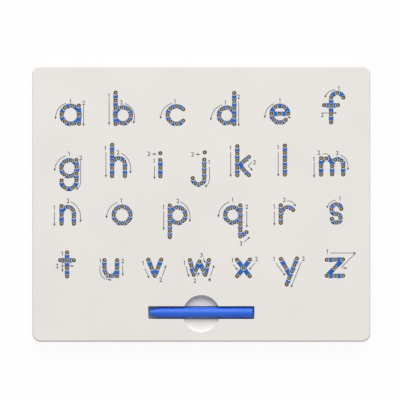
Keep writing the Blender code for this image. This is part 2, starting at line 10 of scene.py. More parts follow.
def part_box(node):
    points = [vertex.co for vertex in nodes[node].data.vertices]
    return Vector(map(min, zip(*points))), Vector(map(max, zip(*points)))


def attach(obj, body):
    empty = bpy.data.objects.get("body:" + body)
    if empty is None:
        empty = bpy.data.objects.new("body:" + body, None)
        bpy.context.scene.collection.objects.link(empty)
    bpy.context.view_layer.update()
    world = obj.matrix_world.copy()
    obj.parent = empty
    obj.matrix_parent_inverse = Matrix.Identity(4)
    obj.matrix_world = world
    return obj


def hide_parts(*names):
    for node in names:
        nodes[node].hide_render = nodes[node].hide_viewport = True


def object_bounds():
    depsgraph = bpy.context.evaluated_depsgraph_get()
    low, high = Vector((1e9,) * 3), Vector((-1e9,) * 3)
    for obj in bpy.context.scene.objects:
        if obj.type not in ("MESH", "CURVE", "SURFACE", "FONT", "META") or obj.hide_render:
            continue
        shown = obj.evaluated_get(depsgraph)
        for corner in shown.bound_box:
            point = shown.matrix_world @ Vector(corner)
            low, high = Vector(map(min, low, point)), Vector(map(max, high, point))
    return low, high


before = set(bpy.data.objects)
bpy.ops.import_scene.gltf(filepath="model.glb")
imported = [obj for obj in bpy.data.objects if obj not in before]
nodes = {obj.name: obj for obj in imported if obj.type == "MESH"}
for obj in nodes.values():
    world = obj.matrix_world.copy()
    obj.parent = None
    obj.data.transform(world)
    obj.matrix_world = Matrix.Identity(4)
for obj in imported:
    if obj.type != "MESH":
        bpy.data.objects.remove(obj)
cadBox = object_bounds()
print("frame loaded:", len(nodes), "nodes")

# The photograph looks straight down on the board
photo = {"pixels": 400, "metresPerPixel": 0.000886, "boardMiddle": (201.3, 203.7)}
viewpoint = {"height": 2.0, "sensorMm": 36}
mergeDistance = 1e-7
cutOverrun = 0.001


def addObject(name, data):
    made = bpy.data.objects.new(name, data)
    bpy.context.scene.collection.objects.link(made)
    return made


def onPage(pixelX, pixelY):
    # a place in the photograph, in metres on the page
    middleX, middleY = photo["boardMiddle"]
    return Vector((pixelX - middleX, middleY - pixelY)) * photo["metresPerPixel"]


def makeCamera():
    lens = bpy.data.cameras.new("camera")
    lens.sensor_width = viewpoint["sensorMm"]
    lens.lens = lens.sensor_width * viewpoint["height"] / (
        photo["pixels"] * photo["metresPerPixel"])
    camera = addObject("camera", lens)
    middle = onPage(photo["pixels"] / 2, photo["pixels"] / 2)
    camera.location = (middle.x, middle.y, cadBox[1].z + viewpoint["height"])
    bpy.context.scene.camera = camera


makeCamera()

# Materials: every one reads Object coordinates, and its sizes are in metres
noiseSpan = (0.35, 0.65)  # what a noise really fills of its range from 0 to 1
glossDetail = 3.0
surfaceKinds = {
    "plastic": {"metallic": 0.0, "toneDetail": 3.0, "glossSpan": (-0.04, 0.04),
                "glossShare": 1 / 6, "grainDetail": 2.0},
    "metal": {"metallic": 1.0, "toneDetail": 3.0, "glossSpan": (-0.06, 0.08),
              "glossShare": 1 / 3, "grainDetail": 4.0},
    "ink": {"metallic": 0.0, "toneDetail": 4.0, "glossSpan": (-0.06, 0.06),
            "glossShare": 2 / 3, "grainDetail": 3.0},
}
# The balls' tones are darker and browner than bare steel: painted shade and a painted brownish
# reflection of the holes the balls sit in.
ballLookWithPaintedShade = {
    "tones": ((0.31, 0.29, 0.24), (0.33, 0.28, 0.17)), "speckTone": (0.06, 0.05, 0.035),
    "speckShare": 0.25, "speckSize": 0.0006, "speckDetail": 4.0,
    "roughness": 0.52, "glossSpan": (-0.06, 0.08), "glossSize": 0.001,
    "grainSize": 0.0003, "grainDepth": 0.000004, "grainDetail": 3.0,
}


def addNode(tree, kind, inputs=(), **values):
    # inputs gives a socket its value, or the output that feeds it
    node = tree.nodes.new(kind)
    for name, value in values.items():
        setattr(node, name, value)
    for name, value in dict(inputs).items():
        if isinstance(value, bpy.types.NodeSocket):
            tree.links.new(value, node.inputs[name])
        else:
            node.inputs[name].default_value = value
    return node


def startMaterial(name, roughness, metallic=0.0, specular=0.5):
    material = bpy.data.materials.new(name)
    material.use_nodes = True
    shader = material.node_tree.nodes["Principled BSDF"]
    shader.inputs["Roughness"].default_value = roughness
    shader.inputs["Metallic"].default_value = metallic
    shader.inputs["Specular IOR Level"].default_value = specular
    return material, material.node_tree, shader


def addNoise(tree, size, detail):
    # noise whose blotches are about this many metres across
    place = addNode(tree, "ShaderNodeTexCoord")
    noise = addNode(tree, "ShaderNodeTexNoise", {
        "Vector": place.outputs["Object"], "Scale": 1 / size, "Detail": detail})
    return noise.outputs["Fac"]


def addRange(tree, noise, low, high):
    spread = addNode(tree, "ShaderNodeMapRange", {
        "Value": noise, "From Min": noiseSpan[0], "From Max": noiseSpan[1],
        "To Min": low, "To Max": high})
    return spread.outputs["Result"]


def addTwoTones(tree, factor, *tones):
    # each tone is a colour, or the output of a node
    first, second = [tone if isinstance(tone, bpy.types.NodeSocket) else (*tone, 1)
                     for tone in tones]
    mix = addNode(tree, "ShaderNodeMix", {"Factor": factor, "A": first, "B": second},
                  data_type="RGBA")
    return mix.outputs["Result"]


def addSurface(tree, shader, colour, roughness, look, glossSize, grainSize, grainDepth):
    # the colour, an uneven gloss and a fine grain
    low, high = look["glossSpan"]
    gloss = addRange(tree, addNoise(tree, glossSize, glossDetail),
                     roughness + low, roughness + high)
    bump = addNode(tree, "ShaderNodeBump", {
        "Height": addNoise(tree, grainSize, look["grainDetail"]), "Distance": grainDepth,
        "Strength": 1.0})
    for source, name in ((colour, "Base Color"), (gloss, "Roughness"),
                         (bump.outputs["Normal"], "Normal")):
        tree.links.new(source, shader.inputs[name])


def makeFinish(name, kind, *tones, roughness, toneSize, grainSize, grainDepth, specular=0.5):
    look = surfaceKinds[kind]
    material, tree, shader = startMaterial(name, roughness, look["metallic"], specular)
    drift = addRange(tree, addNoise(tree, toneSize, look["toneDetail"]), 0, 1)
    addSurface(tree, shader, addTwoTones(tree, drift, *tones), roughness, look,
               toneSize * look["glossShare"], grainSize, grainDepth)
    return material


def makeBallSteel():
    # each ball takes its own tone at random, from a grey steel to a warm brown; both are darker
    # and browner than bare steel, as painted shade and a painted brownish reflection from its
    # hole. Darker specks on top
    look = ballLookWithPaintedShade
    material, tree, shader = startMaterial("ballSteel", look["roughness"], metallic=1.0)
    own = addNode(tree, "ShaderNodeAttribute", attribute_name="ballTone")
    tone = addTwoTones(tree, own.outputs["Fac"], *look["tones"])
    specks = addRange(tree, addNoise(tree, look["speckSize"], look["speckDetail"]),
                      look["speckShare"], 0.0)
    addSurface(tree, shader, addTwoTones(tree, specks, tone, look["speckTone"]),
               look["roughness"], look, look["glossSize"], look["grainSize"], look["grainDepth"])
    return material


whitePlastic = makeFinish(
    "whitePlastic", "plastic", (0.792, 0.763, 0.729), (0.812, 0.780, 0.746), roughness=0.52,
    toneSize=0.05, grainSize=0.0007, grainDepth=0.00001, specular=0.25)
backPlastic = makeFinish(
    "backPlastic", "plastic", (0.74, 0.72, 0.68), (0.765, 0.745, 0.70), roughness=0.55,
    toneSize=0.04, grainSize=0.0009, grainDepth=0.00004)
trayPlastic = makeFinish(
    "trayPlastic", "plastic", (0.52, 0.52, 0.53), (0.58, 0.58, 0.59), roughness=0.6,
    toneSize=0.03, grainSize=0.0009, grainDepth=0.00002)
bluePlastic = makeFinish(
    "bluePlastic", "plastic", (0.012, 0.118, 0.68), (0.018, 0.128, 0.72), roughness=0.5,
    toneSize=0.012, grainSize=0.0005, grainDepth=0.000006)
footRubber = makeFinish(
    "footRubber", "plastic", (0.040, 0.040, 0.043), (0.065, 0.065, 0.068), roughness=0.85,
    toneSize=0.004, grainSize=0.0004, grainDepth=0.00003)
screwSteel = makeFinish(
    "screwSteel", "metal", (0.50, 0.50, 0.52), (0.64, 0.64, 0.65), roughness=0.32,
    toneSize=0.001, grainSize=0.0002, grainDepth=0.000006)
magnetNickel = makeFinish(
    "magnetNickel", "metal", (0.64, 0.62, 0.58), (0.74, 0.72, 0.68), roughness=0.2,
    toneSize=0.001, grainSize=0.0003, grainDepth=0.000003)
ballSteel = makeBallSteel()
blueInk = makeFinish(
    "blueInk", "ink", (0.014, 0.104, 0.38), (0.026, 0.132, 0.46), roughness=0.5,
    toneSize=0.0012, grainSize=0.00035, grainDepth=0.000006, specular=0.25)
greyInk = makeFinish(
    "greyInk", "ink", (0.060, 0.060, 0.065), (0.085, 0.085, 0.09), roughness=0.55,
    toneSize=0.0012, grainSize=0.00035, grainDepth=0.000006, specular=0.25)
print("materials made")

# Meshes and pieces
shading = {"crease": math.radians(35), "flatEdge": math.radians(1), "levelNormal": 0.99999}


def meshFrom(bm, name):
    mesh = bpy.data.meshes.new(name)
    bm.to_mesh(mesh)
    bm.free()
    return mesh


def finishMesh(bm, name):
    bmesh.ops.remove_doubles(bm, verts=bm.verts, dist=mergeDistance)
    bmesh.ops.recalc_face_normals(bm, faces=bm.faces)
    return meshFrom(bm, name)


def evaluatedMesh(source):
    bpy.context.view_layer.update()
    graph = bpy.context.evaluated_depsgraph_get()
    return bpy.data.meshes.new_from_object(source.evaluated_get(graph))


def shadeEdges(mesh):
    # smooth, with crisp edges at corners and all round the level faces
    bm = bmesh.new()
    bm.from_mesh(mesh)
    for face in bm.faces:
        face.smooth = True
    for edge in bm.edges:
        if len(edge.link_faces) == 2:
            first, second = (face.normal for face in edge.link_faces)
            turn = first.angle(second, 0)
            level = max(abs(first.z), abs(second.z)) > shading["levelNormal"]
            edge.smooth = turn < shading["crease"] and not (level and turn > shading["flatEdge"])
    bm.to_mesh(mesh)
    bm.free()


def addPiece(name, mesh, material, body, replaced=()):
    mesh.materials.clear()
    mesh.materials.append(material)
    piece = addObject(name, mesh)
    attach(piece, body)
    if replaced:
        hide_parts(*replaced)
    return piece


def roundedOutline(halfX, halfY, radius, steps):
    points = []
    for quarter, (signX, signY) in enumerate(((1, 1), (-1, 1), (-1, -1), (1, -1))):
        middle = Vector((signX * (halfX - radius), signY * (halfY - radius)))
        for step in range(steps + 1):
            angle = math.pi / 2 * (quarter + step / steps)
            points.append(middle + radius * Vector((math.cos(angle), math.sin(angle))))
    return points


def loftedBlock(middle, halfX, halfY, radius, rings, steps):
    # a block with round corners: rings are (height, how far it is drawn in), bottom up
    bm = bmesh.new()
    loops = []
    for z, inset in rings:
        outline = roundedOutline(halfX - inset, halfY - inset, radius - inset, steps)
        loops.append([bm.verts.new((middle.x + p.x, middle.y + p.y, z)) for p in outline])
    for low, high in zip(loops, loops[1:]):
        for index in range(len(low)):
            after = (index + 1) % len(low)
            bm.faces.new((low[index], low[after], high[after], high[index]))
    bm.faces.new(list(reversed(loops[0])))
    bm.faces.new(loops[-1])
    return finishMesh(bm, "block")


def turnedMesh(profile, sides, closed=False):
    # profile is a list of (radius, height), turned about the upright axis
    bm = bmesh.new()
    verts = [bm.verts.new((radius, 0, z)) for radius, z in profile]
    edges = [bm.edges.new(pair) for pair in zip(verts, verts[1:])]
    if closed:
        edges.append(bm.edges.new((verts[-1], verts[0])))
    bmesh.ops.spin(bm, geom=verts + edges, cent=(0, 0, 0), axis=(0, 0, 1),
                   angle=2 * math.pi, steps=sides, use_duplicate=False)
    return finishMesh(bm, "turned")


def profileArc(middleR, middleZ, radius, start, end, steps):
    # part of a circle in a profile, its angles in degrees from level and outwards
    points = []
    for step in range(steps + 1):
        angle = math.radians(start + (end - start) * step / steps)
        points.append((middleR + radius * math.cos(angle), middleZ + radius * math.sin(angle)))
    return points


def combine(base, cutter, operation):
    # base is an object, cutter a mesh
    tool = addObject("cutter", cutter)
    change = base.modifiers.new("combine", "BOOLEAN")
    change.operation = operation
    change.solver = "MANIFOLD"
    change.object = tool
    mesh = evaluatedMesh(base)
    base.modifiers.clear()
    old = base.data
    base.data = mesh
    bpy.data.meshes.remove(old)
    bpy.data.objects.remove(tool)


def joined(meshes):
    bm = bmesh.new()
    for mesh in meshes:
        bm.from_mesh(mesh)
    return meshFrom(bm, "joined")


def placed(mesh, matrix):
    copy = mesh.copy()
    copy.transform(matrix)
    return copy


def placesObject(name, points):
    mesh = bpy.data.meshes.new(name)
    mesh.from_pydata([tuple(point) for point in points], [], [])
    return addObject(name, mesh)


# Geometry Nodes


def startTree(name, inputs):
    tree = bpy.data.node_groups.new(name, "GeometryNodeTree")
    for label, kind in [("Geometry", "Geometry")] + inputs + [("Material", "Material")]:
        tree.interface.new_socket(label, in_out="INPUT", socket_type="NodeSocket" + kind)
    tree.interface.new_socket("Geometry", in_out="OUTPUT", socket_type="NodeSocketGeometry")
    return tree, addNode(tree, "NodeGroupInput").outputs


def endTree(tree, geometry, given):
    # every tree ends in real meshes with their material
    real = addNode(tree, "GeometryNodeRealizeInstances", {"Geometry": geometry})
    finish = addNode(tree, "GeometryNodeSetMaterial", {
        "Geometry": real.outputs["Geometry"], "Material": given["Material"]})
    addNode(tree, "NodeGroupOutput", {"Geometry": finish.outputs["Geometry"]})
    return tree


def grown(source, tree, settings, keep=False):
    # the mesh that a tree makes from an object
    change = source.modifiers.new(tree.name, "NODES")
    change.node_group = tree
    for item in tree.interface.items_tree:
        if item.in_out == "INPUT" and item.name in settings:
            change[item.identifier] = settings[item.name]
    mesh = evaluatedMesh(source)
    source.modifiers.clear()
    if not keep:
        bpy.data.objects.remove(source)
    return mesh


def meshOf(tree, given):
    return addNode(tree, "GeometryNodeObjectInfo", {"Object": given}).outputs["Geometry"]


def addCopies(tree, points, copied, inputs=()):
    return addNode(tree, "GeometryNodeInstanceOnPoints", {
        "Points": points, "Instance": copied, **dict(inputs)}).outputs["Instances"]


def addCut(tree, body, tools, solver, **inputs):
    # takes the tools out of the body
    real = addNode(tree, "GeometryNodeRealizeInstances", {"Geometry": tools})
    cut = addNode(tree, "GeometryNodeMeshBoolean", {
        "Mesh 1": body, "Mesh 2": real.outputs["Geometry"], **inputs},
        operation="DIFFERENCE", solver=solver)
    return cut.outputs["Mesh"]


def makeDrillTree():
    # takes a copy of the drill out of the body at every place
    tree, given = startTree("drilledHoles", [("Places", "Object"), ("Drill", "Object")])
    drills = addCopies(tree, meshOf(tree, given["Places"]), meshOf(tree, given["Drill"]))
    return endTree(tree, addCut(tree, given["Geometry"], drills, "MANIFOLD"), given)


def makeCopiesTree():
    # sets a copy of a piece at every place, each turned about its upright axis at random
    tree, given = startTree("placedCopies", [
        ("Copied", "Object"), ("Turn", "Float"), ("Seed", "Int")])
    turn = addNode(tree, "FunctionNodeRandomValue", {
        "Max": given["Turn"], "Seed": given["Seed"]}, data_type="FLOAT")
    spin = addNode(tree, "ShaderNodeCombineXYZ", {"Z": turn.outputs["Value"]})
    return endTree(tree, addCopies(
        tree, given["Geometry"], meshOf(tree, given["Copied"]),
        {"Rotation": spin.outputs["Vector"]}), given)


def makeBallsTree():
    # a ball at every place, with a random number of its own that picks its tone between the two
    # ball tones
    tree, given = startTree("steelBalls", [
        ("Radius", "Float"), ("Sides", "Int"), ("Rings", "Int"), ("Seed", "Int")])
    ball = addNode(tree, "GeometryNodeMeshUVSphere", {
        "Radius": given["Radius"], "Segments": given["Sides"], "Rings": given["Rings"]})
    smooth = addNode(tree, "GeometryNodeSetShadeSmooth", {"Geometry": ball.outputs["Mesh"]})
    tone = addNode(tree, "FunctionNodeRandomValue", {"Seed": given["Seed"]}, data_type="FLOAT")
    turn = addNode(tree, "FunctionNodeRandomValue", {
        "Max": (math.pi, math.pi, math.pi), "Seed": given["Seed"]}, data_type="FLOAT_VECTOR")
    copies = addCopies(tree, given["Geometry"], smooth.outputs["Geometry"],
                       {"Rotation": turn.outputs["Value"]})
    marked = addNode(tree, "GeometryNodeStoreNamedAttribute", {
        "Geometry": copies, "Name": "ballTone", "Value": tone.outputs["Value"]},
        data_type="FLOAT", domain="INSTANCE")
    return endTree(tree, marked.outputs["Geometry"], given)


printInputs = [
    ("Width", "Float"), ("Thickness", "Float"), ("Balls", "Object"), ("Clear Radius", "Float"),
    ("Clear Depth", "Float"), ("Clear Sides", "Int")]


def addRibbon(tree, curve, given):
    # a flat band along a curve
    outline = addNode(tree, "GeometryNodeCurvePrimitiveQuadrilateral", {
        "Width": given["Width"], "Height": given["Thickness"]})
    upright = addNode(tree, "GeometryNodeSetCurveNormal", {"Curve": curve}, mode="Z_UP")
    band = addNode(tree, "GeometryNodeCurveToMesh", {
        "Curve": upright.outputs["Curve"], "Profile Curve": outline.outputs["Curve"],
        "Fill Caps": True})
    return band.outputs["Mesh"]


def addBareRings(tree, printed, given):
    # leaves the print bare in a ring round every ball
    disc = addNode(tree, "GeometryNodeMeshCylinder", {
        "Vertices": given["Clear Sides"], "Radius": given["Clear Radius"],
        "Depth": given["Clear Depth"]})
    discs = addCopies(tree, meshOf(tree, given["Balls"]), disc.outputs["Mesh"])
    return addCut(tree, printed, discs, "EXACT", **{"Self Intersection": True})


def makeStrokesTree():
    # printed bands along the letters' strokes
    tree, given = startTree("printedStrokes", printInputs)
    whole = addNode(tree, "GeometryNodeMeshBoolean", {
        "Mesh 2": addRibbon(tree, given["Geometry"], given), "Self Intersection": True},
        operation="UNION", solver="EXACT")
    return endTree(tree, addBareRings(tree, whole.outputs["Mesh"], given), given)


def makeArrowsTree():
    # thin printed lines that end in a head
    tree, given = startTree("strokeArrows", printInputs + [
        ("Bend Radius", "Float"), ("Bend Steps", "Int"), ("Head", "Object")])
    bends = addNode(tree, "GeometryNodeFilletCurve", {
        "Curve": given["Geometry"], "Count": given["Bend Steps"],
        "Radius": given["Bend Radius"], "Limit Radius": True}, mode="POLY")
    line = bends.outputs["Curve"]
    ends = addNode(tree, "GeometryNodeCurveEndpointSelection", {"Start Size": 0})
    tangent = addNode(tree, "GeometryNodeInputTangent")
    along = addNode(tree, "FunctionNodeAlignRotationToVector", {
        "Vector": tangent.outputs["Tangent"]}, axis="X", pivot_axis="Z")
    heads = addCopies(tree, line, meshOf(tree, given["Head"]), {
        "Selection": ends.outputs["Selection"], "Rotation": along.outputs["Rotation"]})
    both = addNode(tree, "GeometryNodeJoinGeometry")
    for mesh in (addBareRings(tree, addRibbon(tree, line, given), given), heads):
        tree.links.new(mesh, both.inputs["Geometry"])
    return endTree(tree, both.outputs["Geometry"], given)


def makeRibsTree():
    # a bar at every place
    tree, given = startTree("ribs", [("Size", "Vector")])
    bar = addNode(tree, "GeometryNodeMeshCube", {"Size": given["Size"]})
    return endTree(tree, addCopies(tree, given["Geometry"], bar.outputs["Mesh"]), given)


drillTree = makeDrillTree()
copiesTree = makeCopiesTree()
ballsTree = makeBallsTree()
strokesTree = makeStrokesTree()
arrowsTree = makeArrowsTree()
ribsTree = makeRibsTree()
print("node trees made")

# Letters, as in the solids: row, middle as a share of half the board's length, the
# strokes with their balls, and the printed links between strokes that carry no ball.
# A stroke is ("line", start, end, balls) or ("arc", middle, radius, first, last, balls),
# in shares of the small letters' height.
page = {
    "smallLetter": 0.0156,
    "sameBallShare": 0.1,
    "rowShares": {"top": 0.578, "second": 0.202, "third": -0.141, "bottom": -0.525},
}
letters = {
    "a": ("top", -0.774, [
        ("arc", (0.02, 0.51), 0.51, 82, 278, 5), ("line", (0.49, 1.03), (0.49, 0.0), 3)],
        [("arc", (0.02, 0.51), 0.51, 278, 442)]),
    "b": ("top", -0.461, [
        ("line", (-0.435, 1.76), (-0.435, -0.02), 5), ("arc", (-0.015, 0.48), 0.45, 100, -100, 5)],
        [("arc", (-0.015, 0.48), 0.45, -100, -260)]),
    "c": ("top", -0.147, [("arc", (0.0, 0.493), 0.50, 40, 320, 7)], []),
    "d": ("top", 0.150, [
        ("line", (0.43, 1.74), (0.43, -0.03), 5), ("arc", (0.0, 0.475), 0.44, 80, 280, 5)],
        [("arc", (0.0, 0.475), 0.44, 280, 440)]),
    "e": ("top", 0.464, [
        ("line", (-0.475, 0.568), (0.475, 0.568), 3), ("arc", (0.0, 0.548), 0.475, 0, 180, 4),
        ("arc", (0.0, 0.548), 0.475, 180, 315, 4)], []),
    "f": ("top", 0.780, [
        ("line", (-0.125, 1.488), (-0.125, 0.068), 4), ("arc", (0.225, 1.388), 0.36, 165, 15, 3),
        ("line", (-0.52, 1.048), (0.26, 1.048), 3)], []),
    "g": ("second", -0.782, [
        ("arc", (0.02, 0.427), 0.455, 80, 280, 5), ("line", (0.43, 0.892), (0.43, -0.268), 4),
        ("arc", (0.0, -0.323), 0.42, 7, -187, 4)],
        [("arc", (0.02, 0.427), 0.455, 280, 440)]),
    "h": ("second", -0.489, [
        ("line", (-0.365, 1.745), (-0.365, -0.03), 5), ("arc", (0.0, 0.63), 0.365, 90, 26, 2),
        ("line", (0.365, 0.41), (0.365, -0.03), 2)],
        [("arc", (0.0, 0.63), 0.365, 180, 0), ("line", (0.365, 0.63), (0.365, 0.41))]),
    "i": ("second", -0.242, [
        ("line", (0.0, 1.274), (0.0, 1.274), 1), ("line", (0.0, 0.889), (0.0, -0.046), 3)], []),
    "j": ("second", -0.006, [
        ("line", (0.25, 1.32), (0.25, 1.32), 1), ("line", (0.225, 0.905), (0.225, -0.145), 4),
        ("arc", (-0.10, -0.17), 0.325, 5, -185, 4)], []),
    "k": ("second", 0.247, [
        ("line", (-0.33, 1.67), (-0.33, 0.02), 5), ("line", (0.33, 1.055), (0.05, 0.825), 2),
        ("line", (0.05, 0.31), (0.33, 0.025), 2)],
        [("line", (0.05, 0.825), (-0.33, 0.50)), ("line", (-0.20, 0.62), (0.05, 0.31))]),
    "l": ("second", 0.494, [("line", (0.0, 1.704), (0.0, 0.054), 5)], []),
    "m": ("second", 0.773, [
        ("line", (-0.63, 0.995), (-0.63, 0.06), 3), ("line", (-0.33, 0.97), (-0.33, 0.97), 1),
        ("line", (0.0, 0.52), (0.0, 0.07), 2), ("arc", (0.32, 0.63), 0.31, 118, 48, 2),
        ("line", (0.63, 0.53), (0.63, 0.07), 2)],
        [("arc", (-0.315, 0.65), 0.315, 180, 0), ("line", (0.0, 0.65), (0.0, 0.52)),
         ("arc", (0.32, 0.63), 0.31, 180, 0), ("line", (0.63, 0.63), (0.63, 0.53))]),
    "n": ("third", -0.789, [
        ("line", (-0.35, 0.966), (-0.35, -0.044), 3), ("arc", (0.0, 0.566), 0.345, 90, 31, 2),
        ("line", (0.35, 0.366), (0.35, -0.044), 2)],
        [("arc", (0.0, 0.566), 0.345, 180, 0), ("line", (0.35, 0.566), (0.35, 0.366))]),
    "o": ("third", -0.468, [("arc", (0.0, 0.46), 0.477, 0, 315, 8)],
          [("arc", (0.0, 0.46), 0.477, 315, 360)]),
    "p": ("third", -0.139, [
        ("line", (-0.45, 1.0), (-0.45, -0.81), 6), ("arc", (0.0, 0.455), 0.44, 102, -102, 5)],
        [("arc", (0.0, 0.455), 0.44, -102, -258)]),
    "q": ("third", 0.186, [
        ("line", (0.43, 1.002), (0.43, -0.763), 6), ("arc", (0.0, 0.462), 0.43, 78, 282, 5),
        ("line", (0.43, -0.763), (0.785, -0.518), 2)],
        [("arc", (0.0, 0.462), 0.43, 282, 438)]),
    "r": ("third", 0.506, [
        ("line", (-0.35, 1.01), (-0.35, 0.01), 4), ("arc", (0.05, 0.53), 0.37, 100, 34, 2)],
        [("arc", (0.05, 0.53), 0.37, 180, 100)]),
    "s": ("third", 0.797, [
        ("arc", (0.01, 0.787), 0.28, 5, 270, 4), ("arc", (0.0, 0.277), 0.25, 90, -170, 4)], []),
    "t": ("bottom", -0.793, [
        ("line", (0.0, 1.35), (0.0, -0.02), 4), ("line", (-0.39, 0.90), (0.38, 0.90), 3)], []),
    "u": ("bottom", -0.535, [
        ("line", (-0.36, 0.902), (-0.36, 0.502), 2), ("arc", (0.0, 0.352), 0.34, 212, 270, 2),
        ("line", (0.36, 0.902), (0.36, -0.008), 3)],
        [("line", (-0.36, 0.502), (-0.34, 0.352)), ("arc", (0.0, 0.352), 0.34, 180, 360)]),
    "v": ("bottom", -0.275, [
        ("line", (-0.365, 0.93), (0.0, 0.01), 3), ("line", (0.0, 0.01), (0.365, 0.93), 3)], []),
    "w": ("bottom", -0.011, [
        ("line", (-0.54, 0.91), (-0.46, 0.60), 2), ("line", (-0.325, 0.075), (-0.205, 0.355), 2),
        ("line", (0.0, 0.83), (0.0, 0.83), 1), ("line", (0.205, 0.355), (0.325, 0.075), 2),
        ("line", (0.46, 0.60), (0.54, 0.91), 2)],
        [("line", (-0.46, 0.60), (-0.325, 0.075)), ("line", (-0.205, 0.355), (0.0, 0.83)),
         ("line", (0.0, 0.83), (0.205, 0.355)), ("line", (0.325, 0.075), (0.46, 0.60))]),
    "x": ("bottom", 0.249, [
        ("line", (-0.37, 0.937), (0.36, -0.003), 3),
        ("line", (0.37, 0.937), (-0.36, -0.003), 3)], []),
    "y": ("bottom", 0.518, [
        ("line", (-0.46, 0.971), (-0.2, 0.516), 2), ("line", (0.455, 1.001), (-0.13, -0.479), 5)],
        [("line", (-0.2, 0.516), (0.07, 0.026))]),
    "z": ("bottom", 0.790, [
        ("line", (-0.47, 0.93), (0.455, 0.95), 3), ("line", (0.455, 0.95), (-0.47, 0.02), 3),
        ("line", (-0.47, 0.02), (0.47, 0.02), 3)], []),
}


def strokePoints(stroke, count):
    shares = [index / max(count - 1, 1) for index in range(count)]
    if stroke[0] == "line":
        start, end = Vector(stroke[1]), Vector(stroke[2])
        return [start.lerp(end, share) for share in shares]
    middle, radius, first, last = Vector(stroke[1]), *stroke[2:5]
    angles = [math.radians(first + (last - first) * share) for share in shares]
    return [middle + radius * Vector((math.cos(a), math.sin(a))) for a in angles]


def letterPlace(letter, point):
    row, column = letters[letter][:2]
    middle = Vector((column * cadBox[1].x, page["rowShares"][row] * cadBox[1].y))
    return middle + point * page["smallLetter"]


def letterBalls(letter):
    found = []
    for stroke in letters[letter][2]:
        for point in strokePoints(stroke, stroke[-1]):
            if all((point - other).length >= page["sameBallShare"] for other in found):
                found.append(point)
    return [letterPlace(letter, point) for point in found]


# Heights and places that every piece takes from the solids
shellLow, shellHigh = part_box("front_shell")
plateLow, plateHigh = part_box("back_shell")
faceZ = shellHigh.z
half = Vector((shellHigh.x, shellHigh.y))
stylusLow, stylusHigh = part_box("stylus_barrel")
screwNodes = sorted(name for name in nodes if name.startswith("case_screw"))
footNodes = sorted(name for name in nodes if name.startswith("rubber_foot"))


def middleOf(node):
    low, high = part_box(node)
    return (low + high) / 2


screwPlaces = [middleOf(node).xy for node in screwNodes]
footPlaces = [middleOf(node).xy for node in footNodes]
ballPlaces = placesObject(
    "ballPlaces", [(*ball, faceZ) for letter in letters for ball in letterBalls(letter)])

# Front shell
shell = {
    "cornerRadius": 0.0075, "cornerSteps": 12, "edgeRadius": 0.0018, "edgeSteps": 6,
    "wall": 0.002,
    "trayMiddle": (0, -0.0967), "trayHalf": (0.047, 0.0057), "trayWall": 0.0013,
    "trayCorner": 0.0008, "trayGap": 0.0003, "trayRim": 0.0005, "trayCornerSteps": 8,
    "tubCornerSteps": 4,
    "scoopMiddle": (0, -0.0975), "scoopRadius": 0.0163, "scoopDepth": 0.006,
    "scoopFillet": 0.0012, "filletSteps": 8, "scoopRim": 0.0004, "scoopSides": 96,
    "tubSides": 72, "rimSteps": 4,
    "bossRadius": 0.0032, "bossLow": 0.0027, "bossSides": 32,
    "pilotRadius": 0.0012, "pilotTop": 0.01005, "pilotSides": 20,
}
# A hole flares at the face, is narrowest at its throat and widens round the lifted ball
hole = {
    "rimDepth": 0.00042, "rimBreakShare": 0.3, "throatRadius": 0.0018,
    "waistRadius": 0.00206, "waistDepth": 0.0008, "bottomRadius": 0.0023, "sides": 20,
}


def rimRings(top, radius, steps, outward=True):
    # the heights and insets of a rounded rim, from its foot up to the face
    rings = []
    for step in range(steps + 1):
        angle = math.pi / 2 * step / steps
        inset = radius * (1 - math.cos(angle))
        rings.append((top - radius + radius * math.sin(angle), -inset if outward else inset))
    return rings


def uprightCylinder(place, low, high, radius, sides):
    profile = [(0, high), (radius, high), (radius, low), (0, low)]
    return placed(turnedMesh(profile, sides), Matrix.Translation((*place, 0)))


def dishProfile(thick, top):
    # the scoop's side, rounded foot and floor, each this much outside the real ones
    radius = shell["scoopRadius"] + thick
    floor, fillet = faceZ - shell["scoopDepth"] - thick, shell["scoopFillet"] + thick
    side = [] if top is None else [(radius, top)]
    foot = profileArc(radius - fillet, floor + fillet, fillet, 0, -90, shell["filletSteps"])
    return side + foot + [(0, floor)]


